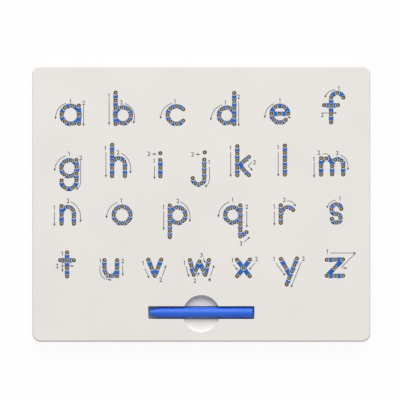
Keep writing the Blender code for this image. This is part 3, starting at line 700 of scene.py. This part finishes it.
def makeFrontShell():
    wall, radius = shell["wall"], shell["cornerRadius"]
    middle = Vector((0, 0))
    rings = [(shellLow.z, 0)] + rimRings(faceZ, shell["edgeRadius"], shell["edgeSteps"], False)
    body = addObject("shellBody", loftedBlock(
        middle, half.x, half.y, radius, rings, shell["cornerSteps"]))
    ceiling = faceZ - wall
    combine(body, loftedBlock(
        middle, half.x - wall, half.y - wall, radius - wall,
        [(shellLow.z - cutOverrun, 0), (ceiling, 0)], shell["cornerSteps"]), "DIFFERENCE")

    # the walls of the tray and the scoop, and the screw bosses
    trayMiddle, (trayX, trayY) = Vector(shell["trayMiddle"]), shell["trayHalf"]
    thick = shell["trayWall"]
    floorZ = stylusLow.z - shell["trayGap"]
    midFace = faceZ - wall / 2
    combine(body, loftedBlock(trayMiddle, trayX + thick, trayY + thick, shell["trayCorner"],
                              [(floorZ - thick, 0), (midFace, 0)], shell["tubCornerSteps"]),
            "UNION")
    lay = Matrix.Translation((*shell["scoopMiddle"], 0))
    tub = turnedMesh([(0, midFace)] + dishProfile(thick, midFace), shell["tubSides"])
    combine(body, placed(tub, lay), "UNION")
    for place in screwPlaces:
        combine(body, uprightCylinder(place, shell["bossLow"], midFace, shell["bossRadius"],
                                      shell["bossSides"]), "UNION")

    # their hollows, with rounded rims at the face
    rim, steps = shell["trayRim"], shell["rimSteps"]
    tray = [(floorZ, 0)] + rimRings(faceZ, rim, steps) + [(faceZ + cutOverrun, -rim)]
    combine(body, loftedBlock(trayMiddle, trayX, trayY, shell["trayCorner"], tray,
                              shell["trayCornerSteps"]), "DIFFERENCE")
    rim = shell["scoopRim"]
    scoop = [(0, faceZ + cutOverrun), (shell["scoopRadius"] + rim, faceZ + cutOverrun)]
    for z, inset in reversed(rimRings(faceZ, rim, steps)):
        scoop.append((shell["scoopRadius"] - inset, z))
    scoop += dishProfile(0, None)
    combine(body, placed(turnedMesh(scoop, shell["scoopSides"]), lay), "DIFFERENCE")
    for place in screwPlaces:
        combine(body, uprightCylinder(place, 0, shell["pilotTop"], shell["pilotRadius"],
                                      shell["pilotSides"]), "DIFFERENCE")

    # a hole over every ball
    throat, edge = hole["throatRadius"], hole["rimDepth"]
    broken = edge * hole["rimBreakShare"]
    drill = addObject("drill", turnedMesh([
        (0, cutOverrun), (throat + edge, cutOverrun), (throat + edge, 0),
        (throat + broken, -broken), (throat, -edge),
        (hole["waistRadius"], -hole["waistDepth"]), (hole["bottomRadius"], -wall),
        (hole["bottomRadius"], -wall - cutOverrun), (0, -wall - cutOverrun)], hole["sides"]))
    mesh = grown(body, drillTree, {
        "Places": ballPlaces, "Drill": drill, "Material": whitePlastic})
    bpy.data.objects.remove(drill)
    shadeEdges(mesh)
    addPiece("frontShell", mesh, whitePlastic, "case", ["front_shell"])


makeFrontShell()
print("front shell made")

# Balls: one piece to a letter, each ball free of its neighbours
balls = {"radius": 0.0021, "sides": 12, "rings": 8, "seed": 3}


def makeBalls():
    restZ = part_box("beads_l")[0].z + balls["radius"]
    for number, letter in enumerate(letters):
        places = placesObject("places", [(*ball, restZ) for ball in letterBalls(letter)])
        mesh = grown(places, ballsTree, {
            "Radius": balls["radius"], "Sides": balls["sides"], "Rings": balls["rings"],
            "Seed": balls["seed"] + number, "Material": ballSteel})
        addPiece("steelBalls_" + letter, mesh, ballSteel, "letter_" + letter,
                 ["beads_" + letter])


makeBalls()
print("balls made")

# Printing on the face: blue strokes, thin arrows and small numbers
ink = {
    "sink": 0.00001, "proud": 0.00003,
    "strokeWidth": 0.0041, "arcStep": 6,
    "clearRadius": 0.00222, "clearDepth": 0.0003, "clearSides": 24,
    "lineWidth": 0.00055, "bendRadius": 0.0008, "bendSteps": 4, "bowSteps": 9,
    "headLength": 0.0023, "headWidth": 0.0021, "headReach": 0.0015, "headProud": 0.000045,
    "numberSize": 0.0055, "numberBold": 0.00006, "numberSteps": 3,
    "drop": 0.0002,  # arrows and numbers stand this much below their pixels
}
# The font's own 1 is a bare bar. This one has a flag, in shares of half a number's height.
flaggedOneShares = [(0.18, -1), (0.18, 1), (-0.04, 1), (-0.48, 0.66), (-0.37, 0.43),
                    (-0.12, 0.61), (-0.12, -1)]
# Every arrow: its number and where that stands, the points it passes through, and how far
# it bows to its left as a share of its length. Places are in the photograph's pixels. An
# arrow without a number carries on the one before it.
arrows = {
    "a": [("1", (70.5, 101.0), [(65.6, 103.0), (55.5, 117.4)], -0.15),
          ("2", (83.7, 102.6), [(83.5, 105.5), (83.5, 124.3)], 0)],
    "b": [("1", (109.0, 95.3), [(109.1, 98.4), (109.1, 123.1)], 0),
          ("2", (121.4, 102.0), [(124.9, 103.0), (133.8, 122.0)], 0.205)],
    "c": [("1", (175.0, 101.1), [(171.8, 103.0), (160.5, 117.1)], -0.15)],
    "d": [("1", (225.5, 102.2), [(222.0, 104.7), (210.9, 118.6)], -0.15),
          ("2", (238.7, 96.5), [(238.7, 101.0), (238.7, 124.6)], 0)],
    "e": [("1", (280.0, 100.2), [(274.0, 103.4), (264.8, 116.5)], -0.15),
          ("", (0, 0), [(287.6, 117.2), (289.6, 117.2)], 0)],
    "f": [("1", (339.0, 87.9), [(335.4, 89.5), (325.3, 96.2)], -0.15),
          ("2", (322.3, 114.6), [(323.0, 112.7), (335.3, 112.7)], 0)],
    "g": [("1", (69.2, 153.5), [(66.0, 155.4), (54.6, 169.3)], -0.15),
          ("2", (80.8, 157.5), [(80.7, 160.1), (80.7, 181.4), (79.8, 185.6), (77.3, 188.5)], 0)],
    "h": [("1", (105.4, 147.8), [(105.9, 151.5), (105.9, 175.6)], 0),
          ("2", (118.0, 152.1), [(121.2, 152.9), (130.4, 171.9)], 0.17)],
    "i": [("1", (154.2, 160.9), [(154.5, 166.0), (154.5, 177.4)], 0),
          ("2", (148.8, 153.5), [(151.8, 153.8), (154.8, 153.8)], 0)],
    "j": [("1", (209.3, 161.7), [(209.4, 166.7), (209.6, 178.4), (208.8, 182.5),
                                  (205.9, 185.9)], 0),
          ("2", (192.6, 154.0), [(195.4, 154.1), (198.4, 154.1)], 0)],
    "k": [("1", (230.6, 147.6), [(230.7, 152.2), (230.7, 175.2)], 0),
          ("2", (254.6, 162.0), [(252.1, 161.9), (248.0, 165.7), (251.6, 169.2)], 0)],
    "l": [("1", (278.2, 147.0), [(278.2, 152.2), (278.2, 174.7)], 0)],
    "m": [("1", (314.1, 158.7), [(314.2, 161.8), (314.2, 175.8)], 0),
          ("2", (318.9, 152.4), [(322.8, 153.9), (329.5, 156.0)], 0.2),
          ("3", (337.3, 152.9), [(340.5, 154.5), (348.0, 168.5)], 0.17)],
    "n": [("1", (54.3, 207.3), [(54.4, 211.6), (54.4, 224.3)], 0),
          ("2", (68.1, 200.5), [(70.7, 201.3), (80.4, 220.5)], 0.17)],
    "o": [("1", (121.4, 200.2), [(117.5, 202.2), (106.5, 216.5)], -0.15)],
    "p": [("1", (163.5, 206.8), [(163.7, 211.1), (163.7, 228.3)], 0),
          ("2", (177.9, 200.7), [(180.3, 201.2), (189.8, 220.3)], 0.17)],
    "q": [("1", (232.7, 199.8), [(229.4, 201.7), (218.4, 215.7)], -0.15),
          ("2", (246.8, 206.4), [(246.8, 210.6), (246.8, 225.8)], 0),
          ("3", (241.0, 243.2), [(244.1, 241.9), (248.8, 237.6)], 0)],
    "r": [("1", (274.2, 206.4), [(274.3, 211.1), (274.3, 223.8)], 0),
          ("2", (284.3, 199.5), [(287.3, 200.8), (295.0, 205.0)], 0.17)],
    "s": [("1", (340.1, 198.3), [(335.9, 199.9), (327.4, 206.6)], -0.15)],
    "t": [("1", (62.4, 253.3), [(62.4, 257.1), (62.4, 270.2)], 0),
          ("2", (57.2, 265.8), [(60.5, 265.7), (72.3, 265.7)], 0)],
    "u": [("1", (100.3, 260.5), [(100.0, 265.2), (100.0, 271.5), (101.4, 275.6), (104.4, 278.4),
                                  (110.2, 279.6)], 0),
          ("2", (122.7, 260.8), [(122.7, 264.8), (122.7, 274.3)], 0)],
    "v": [("1", (143.2, 262.9), [(144.8, 268.0), (148.6, 276.6)], 0),
          ("2", (160.7, 279.4), [(162.3, 276.3), (165.5, 266.4)], 0)],
    "w": [("1", (184.5, 262.5), [(185.9, 266.0), (188.5, 275.3)], 0),
          ("2", (194.8, 280.4), [(197.4, 276.9), (198.7, 273.4)], 0),
          ("3", (201.5, 254.9), [(203.1, 257.8), (204.7, 261.3)], 0),
          ("4", (209.5, 279.4), [(210.5, 275.6), (213.7, 266.4)], 0)],
    "x": [("1", (232.5, 259.9), [(233.3, 264.2), (236.8, 268.8)], 0),
          ("2", (256.5, 258.8), [(254.9, 262.8), (250.0, 268.5)], 0)],
    "y": [("1", (274.1, 258.8), [(276.1, 263.1), (284.4, 274.3)], 0),
          ("2", (303.4, 258.5), [(301.4, 261.6), (291.6, 286.0)], 0)],
    "z": [("1", (327.4, 251.2), [(330.6, 252.8), (354.7, 252.8)], 0),
          ("", (0, 0), [(355.2, 253.2), (340.8, 267.7), (345.5, 267.9)], 0)],
}


def curveObject(name, lines, z):
    curve = bpy.data.curves.new(name, "CURVE")
    curve.dimensions = "3D"
    for line in lines:
        spline = curve.splines.new("POLY")
        spline.points.add(len(line) - 1)
        for point, place in zip(spline.points, line):
            point.co = (place.x, place.y, z, 1)
    return addObject(name, curve)


def inkPath(letter, stroke):
    # the points that a printed stroke follows
    count = 2
    if stroke[0] == "arc":
        count += int(abs(stroke[4] - stroke[3]) / ink["arcStep"])
    return [letterPlace(letter, point) for point in strokePoints(stroke, count)]


def bowedLine(points, bow):
    line = [onPage(*point) - Vector((0, ink["drop"])) for point in points]
    if not bow:
        return line
    # a parabola, 1 bow high at its middle
    start, end = line
    left = Vector((start.y - end.y, end.x - start.x)) * bow
    shares = [step / ink["bowSteps"] for step in range(ink["bowSteps"] + 1)]
    return [start.lerp(end, share) + left * 4 * share * (1 - share) for share in shares]


def addPrint(name, source, tree, width, material, more=()):
    # the print that a tree makes along a curve, bare round every ball
    mesh = grown(source, tree, {
        "Width": width, "Thickness": ink["proud"] + ink["sink"], "Balls": ballPlaces,
        "Clear Radius": ink["clearRadius"], "Clear Depth": ink["clearDepth"],
        "Clear Sides": ink["clearSides"], "Material": material, **dict(more)})
    addPiece(name, mesh, material, "case")


def makeStrokes():
    paths = []
    for letter, (row, column, strokes, links) in letters.items():
        inked = [stroke for stroke in strokes if stroke[-1] > 1]
        inked += [(*link, 0) for link in links]
        paths += [inkPath(letter, stroke) for stroke in inked]
    curve = curveObject("strokes", paths, faceZ + (ink["proud"] - ink["sink"]) / 2)
    addPrint("printedStrokes", curve, strokesTree, ink["strokeWidth"], blueInk)


def printedShape(outline, low, high):
    # a flat outline with a little thickness
    bm = bmesh.new()
    face = bm.faces.new([bm.verts.new((x, y, low)) for x, y in outline])
    top = bmesh.ops.extrude_face_region(bm, geom=[face])["geom"]
    bmesh.ops.translate(bm, vec=(0, 0, high - low),
                        verts=[item for item in top if isinstance(item, bmesh.types.BMVert)])
    return finishMesh(bm, "printedShape")


def makeArrows():
    tip, width = ink["headReach"], ink["headWidth"]
    foot = tip - ink["headLength"]
    head = addObject("arrowHead", printedShape(
        [(tip, 0), (foot, width / 2), (foot, -width / 2)], -ink["sink"], ink["headProud"]))
    lines = [bowedLine(points, bow) for marks in arrows.values() for _, _, points, bow in marks]
    curve = curveObject("arrows", lines, faceZ + ink["proud"] / 2)
    addPrint("strokeArrows", curve, arrowsTree, ink["lineWidth"], greyInk, {
        "Bend Radius": ink["bendRadius"], "Bend Steps": ink["bendSteps"], "Head": head})
    bpy.data.objects.remove(head)


def makeNumbers():
    shapes = {}
    thickness = ink["proud"] + ink["sink"]
    for number in "234":
        text = bpy.data.curves.new("number", "FONT")
        text.body = number
        text.size = ink["numberSize"]
        text.align_x = "CENTER"
        text.extrude = thickness / 2
        text.offset = ink["numberBold"]
        text.resolution_u = ink["numberSteps"]
        holder = addObject("number", text)
        shape = shapes[number] = evaluatedMesh(holder)
        bpy.data.objects.remove(holder)
        heights = [vertex.co.y for vertex in shape.vertices]
        shape.transform(Matrix.Translation((0, -(min(heights) + max(heights)) / 2, 0)))
    # the 1 is as tall as the 4
    halfHeight = max(vertex.co.y for vertex in shapes["4"].vertices)
    shapes["1"] = printedShape([(x * halfHeight, y * halfHeight) for x, y in flaggedOneShares],
                               -thickness / 2, thickness / 2)
    numbers = []
    for marks in arrows.values():
        for number, place, _, _ in marks:
            if number:
                spot = onPage(*place)
                numbers.append(placed(shapes[number], Matrix.Translation((
                    spot.x, spot.y - ink["drop"], faceZ + (ink["proud"] - ink["sink"]) / 2))))
    addPiece("strokeNumbers", joined(numbers), greyInk, "case")


makeStrokes()
makeArrows()
makeNumbers()
bpy.data.objects.remove(ballPlaces)
print("printing made")

# Stylus, turned about an upright axis with its nose down, then laid along X
stylus = {
    "length": 0.092, "radius": 0.0048, "noseLength": 0.010, "tipRadius": 0.0029,
    "noseBase": 0.0045, "edge": 0.0006, "bore": 0.0029, "spigot": 0.006,
    "capLength": 0.007, "capEdge": 0.0014, "magnetRadius": 0.0019, "magnetLength": 0.005,
    "magnetInset": 0.0003, "gap": 0.00004, "seamEdge": 0.00006, "seamSteps": 3,
    "tipSteps": 6, "capSteps": 8, "sides": 64,
}


def makeStylus():
    s = stylus
    middle = (stylusLow + stylusHigh) / 2
    middle.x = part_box("stylus_nose")[0].x
    lay = Matrix.Translation(middle) @ Matrix.Rotation(math.pi / 2, 4, "Y")
    seam, steps, spigot = s["seamEdge"], s["seamSteps"], s["bore"] - s["gap"]
    magnetBore = s["magnetRadius"] + s["gap"]
    magnetTop = s["magnetInset"] + s["magnetLength"]
    boreEnd = magnetTop + s["gap"]
    barrelLow = s["noseLength"] + s["gap"]
    barrelHigh = s["length"] - s["capLength"] - s["gap"]
    capLow = barrelHigh + s["gap"]

    # every profile gives distances from the axis and from the tip
    nose = [(0, s["noseLength"] + s["spigot"]), (spigot, s["noseLength"] + s["spigot"]),
            (spigot, s["noseLength"])]
    nose += profileArc(s["noseBase"] - seam, s["noseLength"] - seam, seam, 90, 0, steps)
    nose += profileArc(s["tipRadius"] - s["edge"], s["edge"], s["edge"], 0, -90, s["tipSteps"])
    nose += [(magnetBore, 0), (magnetBore, boreEnd), (0, boreEnd)]
    barrel = [(s["bore"], barrelHigh)]
    barrel += profileArc(s["radius"] - seam, barrelHigh - seam, seam, 90, 0, steps)
    barrel += profileArc(s["noseBase"] - seam, barrelLow + seam, seam, 0, -90, steps)
    barrel += [(s["bore"], barrelLow)]
    magnet = [(0, magnetTop), (s["magnetRadius"], magnetTop)]
    magnet += profileArc(s["magnetRadius"] - seam, s["magnetInset"] + seam, seam, 0, -90, steps)
    magnet += [(0, s["magnetInset"])]
    cap = [(0, s["length"])]
    cap += profileArc(s["radius"] - s["capEdge"], s["length"] - s["capEdge"], s["capEdge"],
                      90, 0, s["capSteps"])
    cap += profileArc(s["radius"] - seam, capLow + seam, seam, 0, -90, steps)
    cap += [(spigot, capLow), (spigot, capLow - s["spigot"]), (0, capLow - s["spigot"])]

    for name, profile, material, slot, closed, node in (
            ("stylusNose", nose, bluePlastic, "blue_plastic", False, "stylus_nose"),
            ("stylusBarrel", barrel, bluePlastic, "blue_plastic", True, "stylus_barrel"),
            ("stylusMagnet", magnet, magnetNickel, "magnet_nickel", False, "stylus_magnet"),
            ("stylusEndCap", cap, bluePlastic, "blue_plastic", False, "stylus_end_cap")):
        mesh = turnedMesh(profile, s["sides"], closed)
        mesh.transform(lay)
        shadeEdges(mesh)
        addPiece(name, mesh, material, "stylus", [node])


makeStylus()
print("stylus made")

# Back: the plate with its ribs, foot seats and countersinks, then screws and feet
back = {
    "reach": 0.0023, "edge": 0.0005, "edgeMiddleShare": 0.29, "thickness": 0.0016,
    "ribWidth": 0.0014, "ribLengthShare": 0.94,
    "longRibShares": (-0.55, 0.05, 0.55), "crossRibShares": (-0.7, -0.23, 0.23, 0.7),
    "countersinkRadius": 0.0026, "shankRadius": 0.0013, "countersinkSides": 32,
    "seatRadius": 0.0063, "seatDepth": 0.0006, "seatEdge": 0.0002, "seatSides": 48,
}
screws = {
    "headRadius": 0.0023, "shankRadius": 0.0011, "length": 0.0085, "headEdge": 0.00012,
    "threadDepth": 0.0002, "threadPitch": 0.0007, "tip": 0.001, "tipRadius": 0.0005,
    "slotWidth": 0.0005, "slotLength": 0.0025, "slotDepth": 0.0009, "slotTopShare": 0.45,
    "sides": 32, "seed": 5,
}
feet = {
    "radius": 0.006, "edge": 0.0003, "edgeSteps": 5, "sides": 48,
    "ringRadius": 0.0042, "ringDepth": 0.0002, "ringMouth": 0.0004, "ringFloor": 0.0002,
}


def slotCross(width, length, depth):
    # two crossed bars that narrow upwards, as deep in the head as they stand out of it
    bm = bmesh.new()
    for turn in (0, math.pi / 2):
        bar = bmesh.ops.create_cube(bm, size=1)["verts"]
        for vert in bar:
            top = vert.co.z > 0
            share = screws["slotTopShare"] if top else 1
            vert.co = (vert.co.x * length * share, vert.co.y * width, depth if top else -depth)
        bmesh.ops.rotate(bm, verts=bar, matrix=Matrix.Rotation(turn, 3, "Z"))
    return meshFrom(bm, "slotCross")


def makeBackShell():
    b = back
    low = plateLow.z
    top = low + b["thickness"]
    edge, middle = b["edge"], b["edge"] * b["edgeMiddleShare"]
    rings = [(low, edge), (low + middle, middle), (low + edge, 0), (top, 0)]
    body = addObject("plate", loftedBlock(
        Vector((0, 0)), half.x - b["reach"], half.y - b["reach"],
        shell["cornerRadius"] - b["reach"], rings, shell["cornerSteps"]))

    # ribs that press on the bead tray
    trayLow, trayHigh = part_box("bead_tray")
    reachX, reachY = trayHigh.x, (trayHigh.y - trayLow.y) / 2
    middleY = (trayHigh.y + trayLow.y) / 2
    ribLow, ribHigh = (low + top) / 2, plateHigh.z
    ribHeight = ribHigh - ribLow
    long = [(0, middleY + share * reachY, (ribLow + ribHigh) / 2) for share in b["longRibShares"]]
    cross = [(share * reachX, middleY, (ribLow + ribHigh) / 2) for share in b["crossRibShares"]]
    for places, size in (
            (long, (2 * reachX * b["ribLengthShare"], b["ribWidth"], ribHeight)),
            (cross, (b["ribWidth"], 2 * reachY * b["ribLengthShare"], ribHeight))):
        ribs = grown(placesObject("ribPlaces", places), ribsTree, {
            "Size": size, "Material": backPlastic})
        combine(body, ribs, "UNION")

    # countersinks and foot seats
    spread = b["countersinkRadius"] - b["shankRadius"]
    seatEdge = b["seatEdge"]
    countersink = addObject("countersink", turnedMesh([
        (0, top - low + cutOverrun), (b["shankRadius"], top - low + cutOverrun),
        (b["shankRadius"], spread), (b["countersinkRadius"], 0),
        (b["countersinkRadius"], -cutOverrun), (0, -cutOverrun)], b["countersinkSides"]))
    seat = addObject("footSeat", turnedMesh([
        (0, b["seatDepth"]), (b["seatRadius"], b["seatDepth"]), (b["seatRadius"], seatEdge),
        (b["seatRadius"] + seatEdge, 0), (b["seatRadius"] + seatEdge, -cutOverrun),
        (0, -cutOverrun)], b["seatSides"]))
    for drill, places in ((countersink, screwPlaces), (seat, footPlaces)):
        spots = placesObject("drillPlaces", [(*place, low) for place in places])
        mesh = grown(body, drillTree, {
            "Places": spots, "Drill": drill, "Material": backPlastic}, keep=True)
        body.data = mesh
        bpy.data.objects.remove(drill)
        bpy.data.objects.remove(spots)
    bpy.data.objects.remove(body)
    shadeEdges(mesh)
    addPiece("backShell", mesh, backPlastic, "case", ["back_shell"])


def makeScrews():
    s = screws
    cone = s["headRadius"] - s["shankRadius"]
    profile = [(0, 0), (s["headRadius"] - s["headEdge"], 0), (s["headRadius"], s["headEdge"]),
               (s["shankRadius"], cone + s["headEdge"])]
    z = cone + s["headEdge"] + s["threadPitch"] / 2
    while z < s["length"] - s["tip"]:
        profile += [(s["shankRadius"] - s["threadDepth"], z),
                    (s["shankRadius"], z + s["threadPitch"] / 2)]
        z += s["threadPitch"]
    profile += [(s["tipRadius"], s["length"]), (0, s["length"])]
    screw = addObject("screw", turnedMesh(profile, s["sides"]))
    combine(screw, slotCross(s["slotWidth"], s["slotLength"], s["slotDepth"]), "DIFFERENCE")
    shadeEdges(screw.data)
    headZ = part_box(screwNodes[0])[0].z
    mesh = grown(placesObject("screwPlaces", [(*place, headZ) for place in screwPlaces]),
                 copiesTree, {"Copied": screw, "Turn": math.pi, "Seed": s["seed"],
                              "Material": screwSteel})
    bpy.data.objects.remove(screw)
    addPiece("caseScrews", mesh, screwSteel, "case", screwNodes)


def makeFeet():
    f = feet
    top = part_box(footNodes[0])[1].z
    ring, dip, mouth, flat = (f[key] for key in (
        "ringRadius", "ringDepth", "ringMouth", "ringFloor"))
    profile = [(0, top), (f["radius"], top)]
    profile += profileArc(f["radius"] - f["edge"], f["edge"], f["edge"], 0, -90,
                          f["edgeSteps"])
    profile += [(ring + mouth, 0), (ring + flat, dip), (ring - flat, dip), (ring - mouth, 0),
                (0, 0)]
    foot = addObject("foot", turnedMesh(profile, f["sides"]))
    shadeEdges(foot.data)
    mesh = grown(placesObject("footPlaces", [(*place, 0) for place in footPlaces]),
                 copiesTree, {"Copied": foot, "Turn": 0.0, "Seed": 0, "Material": footRubber})
    bpy.data.objects.remove(foot)
    addPiece("rubberFeet", mesh, footRubber, "case", footNodes)


makeBackShell()
makeScrews()
makeFeet()
nodes["bead_tray"].data.materials.clear()
nodes["bead_tray"].data.materials.append(trayPlastic)
print("back, screws and feet made")

# Floor, light and world
studio = {
    "floorHalf": 3.0, "floorDrop": 0.0001, "floorRoughness": 0.9,
    "floorColour": 0.8, "floorWhite": 0.94,
    "keyPlace": (0.0, 6.36, 6.36), "keySize": 8.0, "keyPower": 825,
    "worldLight": 0.375, "seenWorld": 1.0,
}


def seenDirectly(tree):
    # 1 where the camera, a reflection or a see-through ray looks, and 0 for plain light
    path = addNode(tree, "ShaderNodeLightPath")
    total = path.outputs["Is Camera Ray"]
    for ray in ("Is Glossy Ray", "Is Transmission Ray"):
        total = addNode(tree, "ShaderNodeMath", {0: total, 1: path.outputs[ray]},
                        operation="MAXIMUM").outputs["Value"]
    return total


def makeFloor():
    material, tree, shader = startMaterial("paleFloor", studio["floorRoughness"])
    shader.inputs["Base Color"].default_value = (*[studio["floorColour"]] * 3, 1)
    white = addNode(tree, "ShaderNodeEmission")
    share = addNode(tree, "ShaderNodeMath", {0: seenDirectly(tree), 1: studio["floorWhite"]},
                    operation="MULTIPLY")
    mix = addNode(tree, "ShaderNodeMixShader", {
        0: share.outputs["Value"], 1: shader.outputs["BSDF"], 2: white.outputs["Emission"]})
    tree.links.new(mix.outputs["Shader"], tree.nodes["Material Output"].inputs["Surface"])
    reach, z = studio["floorHalf"], -studio["floorDrop"]
    mesh = bpy.data.meshes.new("floor")
    mesh.from_pydata([(-reach, -reach, z), (reach, -reach, z), (reach, reach, z),
                      (-reach, reach, z)], [], [(0, 1, 2, 3)])
    mesh.materials.append(material)
    floor = addObject("floor", mesh)


def makeLamp(name, place, size, power):
    light = bpy.data.lights.new(name, "AREA")
    light.shape = "DISK"
    light.size = size
    light.energy = power
    lamp = addObject(name, light)
    lamp.location = place
    lamp.rotation_euler = (-Vector(place)).to_track_quat("-Z", "Y").to_euler()


def makeWorld():
    world = bpy.data.worlds.new("studio")
    world.use_nodes = True
    tree = world.node_tree
    background = tree.nodes["Background"]
    background.inputs["Color"].default_value = (1, 1, 1, 1)
    strength = addNode(tree, "ShaderNodeMapRange", {
        "Value": seenDirectly(tree), "To Min": studio["worldLight"],
        "To Max": studio["seenWorld"]})
    tree.links.new(strength.outputs["Result"], background.inputs["Strength"])
    bpy.context.scene.world = world


makeFloor()
makeLamp("keyLight", studio["keyPlace"], studio["keySize"], studio["keyPower"])
makeWorld()
bpy.context.scene.view_settings.view_transform = "Standard"
print("studio made")
